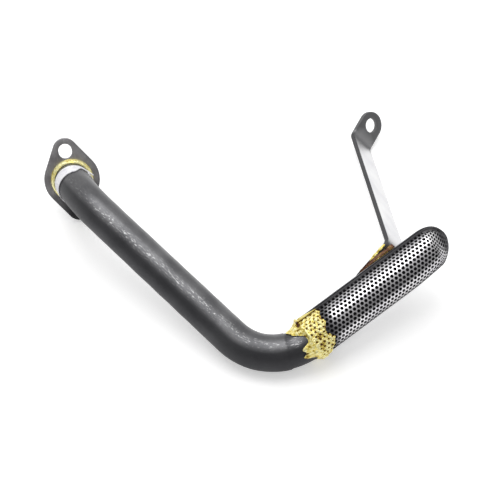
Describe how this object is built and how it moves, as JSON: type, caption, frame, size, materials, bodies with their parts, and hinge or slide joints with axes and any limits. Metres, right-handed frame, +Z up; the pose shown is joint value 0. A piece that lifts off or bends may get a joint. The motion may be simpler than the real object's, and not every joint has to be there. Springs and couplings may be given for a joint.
{
  "type": "oil pickup tube",
  "caption": "Bent steel engine oil pickup tube with a bolt-on flange, a perforated half-round strainer and a folded support bracket, brazed together.",
  "frame": {"origin": "under the middle of the part's bounding box, on the surface that it lies on", "axes": "+X is the box's longest side, towards the strainer and the bracket; +Z is up, the box's shortest side; the part lies as it comes to rest"},
  "size_m": [0.2476, 0.1998, 0.0507],
  "materials": {
    "dark_steel": "dark, satin, scuffed along its upper side",
    "plate_steel": "mid grey plate with faint rust and heat tints",
    "screen_steel": "bright perforated sheet with dark soot in the holes",
    "pan_steel": "dark pressed sheet",
    "strap_steel": "plain grey strip",
    "braze": "rough yellow braze",
    "white_band": "thin white band"
  },
  "bodies": {
    "root": {"tube": "dark_steel", "flange": "plate_steel", "flange_braze": "braze", "tag_band": "white_band", "strainer_screen": "screen_steel", "strainer_pan": "pan_steel", "strainer_braze": "braze", "bracket": "strap_steel", "bracket_braze": "braze"}
  },
  "joints": []
}
